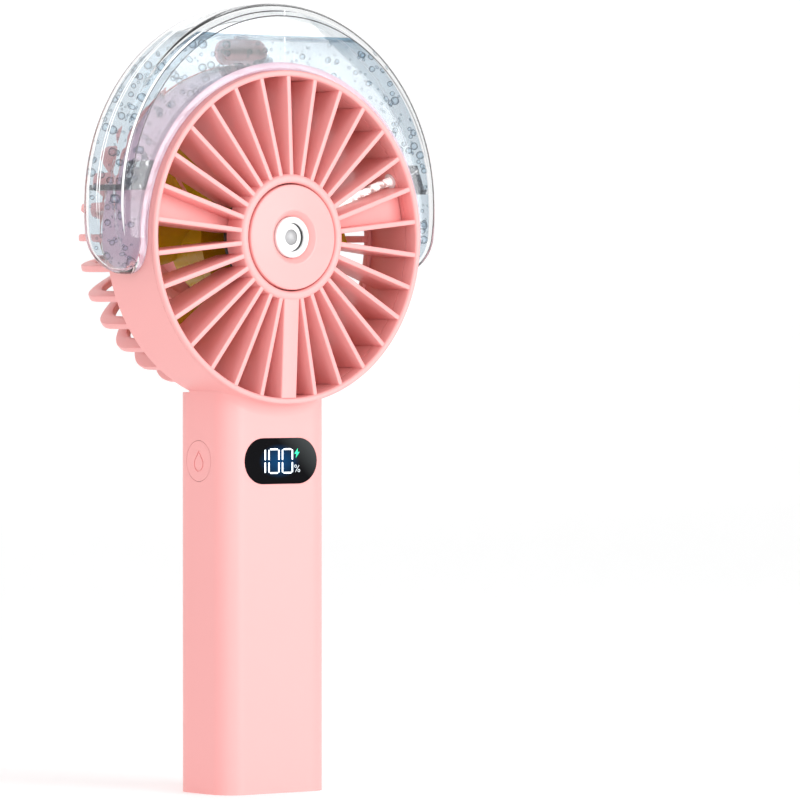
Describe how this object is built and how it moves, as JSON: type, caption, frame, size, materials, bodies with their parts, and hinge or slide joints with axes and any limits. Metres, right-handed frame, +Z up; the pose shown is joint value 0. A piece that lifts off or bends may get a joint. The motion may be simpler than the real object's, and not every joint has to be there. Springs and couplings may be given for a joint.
{
  "type": "handheld misting fan",
  "caption": "Battery handheld fan with a round grille and domed rear guard, a clear water tank over the head, a mist nozzle in the hub and a square handle with a display.",
  "frame": {"origin": "centre of the handle's flat base", "axes": "+Z up along the handle, +Y towards the rear guard, so air and mist leave along -Y, +X to the right as the front is looked at from ahead"},
  "size_m": [0.1104, 0.0527, 0.2181],
  "materials": {
    "pink_plastic": "satin moulded plastic",
    "pink_silicone": "silicone",
    "clear_plastic": "clear moulded plastic",
    "clear_tube": "clear tube",
    "white_plastic": "gloss",
    "white_silicone": "silicone",
    "steel": "plain steel",
    "ceramic": "piezo ceramic",
    "cotton": "pressed fibre",
    "black_plastic": "moulded",
    "black_gloss": "gloss window",
    "yellow_plastic": "moulded",
    "magnet": "ferrite",
    "copper": "windings",
    "bronze": "sintered",
    "cream_plastic": "moulded",
    "circuit_board": "solder mask",
    "battery": "wrapped cell",
    "lead_wire": "insulated wire"
  },
  "bodies": {
    "fan_body": {"main_housing": "pink_plastic", "base_cap": "pink_plastic", "base_cap_screws": "steel", "front_grille": "pink_plastic", "hub_cap": "pink_plastic", "nozzle_ring": "white_plastic", "mist_seal_front": "white_silicone", "mesh_plate": "steel", "piezo_ring": "ceramic", "mist_seal_rear": "white_silicone", "wick": "cotton", "mist_module_cover": "black_plastic", "feed_tube": "clear_tube", "tube_grommet": "white_silicone", "tank_shell": "clear_plastic", "tank_back": "clear_plastic", "tank_dividers": "clear_plastic", "rear_guard": "pink_plastic", "motor_can": "steel", "motor_end_cap": "cream_plastic", "motor_magnets": "magnet", "front_bearing": "bronze", "rear_bearing": "bronze", "motor_screws": "steel", "display_lens": "black_gloss", "display_module": "black_plastic", "main_pcb": "circuit_board", "switch_bodies": "black_plastic", "battery_cell": "battery", "battery_tabs": "steel", "battery_cradle": "black_plastic", "charge_pcb": "circuit_board", "usb_c_port": "steel", "motor_leads": "lead_wire", "mist_leads": "lead_wire", "handle_leads": "lead_wire"},
    "impeller_rotor": {"impeller": "yellow_plastic", "shaft_cap": "black_plastic", "motor_shaft": "steel", "motor_rotor": "copper"},
    "mist_button_cap": {"mist_button": "pink_plastic", "mist_plunger": "cream_plastic"},
    "power_button_cap": {"power_button": "pink_plastic", "power_plunger": "cream_plastic"},
    "fill_plug": {"fill_plug": "pink_silicone"}
  },
  "joints": [
    {"name": "impeller_spin", "type": "hinge", "parent": "fan_body", "child": "impeller_rotor", "pos_m": [0, 0, 0.1535], "axis": [0, 1, 0], "continuous": true},
    {"name": "mist_button_press", "type": "slide", "parent": "fan_body", "child": "mist_button_cap", "axis": [1, 0, 0], "range_m": [0, 0.0006], "stiffness_N_per_m": 2000},
    {"name": "power_button_press", "type": "slide", "parent": "fan_body", "child": "power_button_cap", "axis": [-1, 0, 0], "range_m": [0, 0.0006], "stiffness_N_per_m": 2000},
    {"name": "fill_plug_pull", "type": "slide", "parent": "fan_body", "child": "fill_plug", "axis": [0, 1, 0], "range_m": [0, 0.008]}
  ]
}
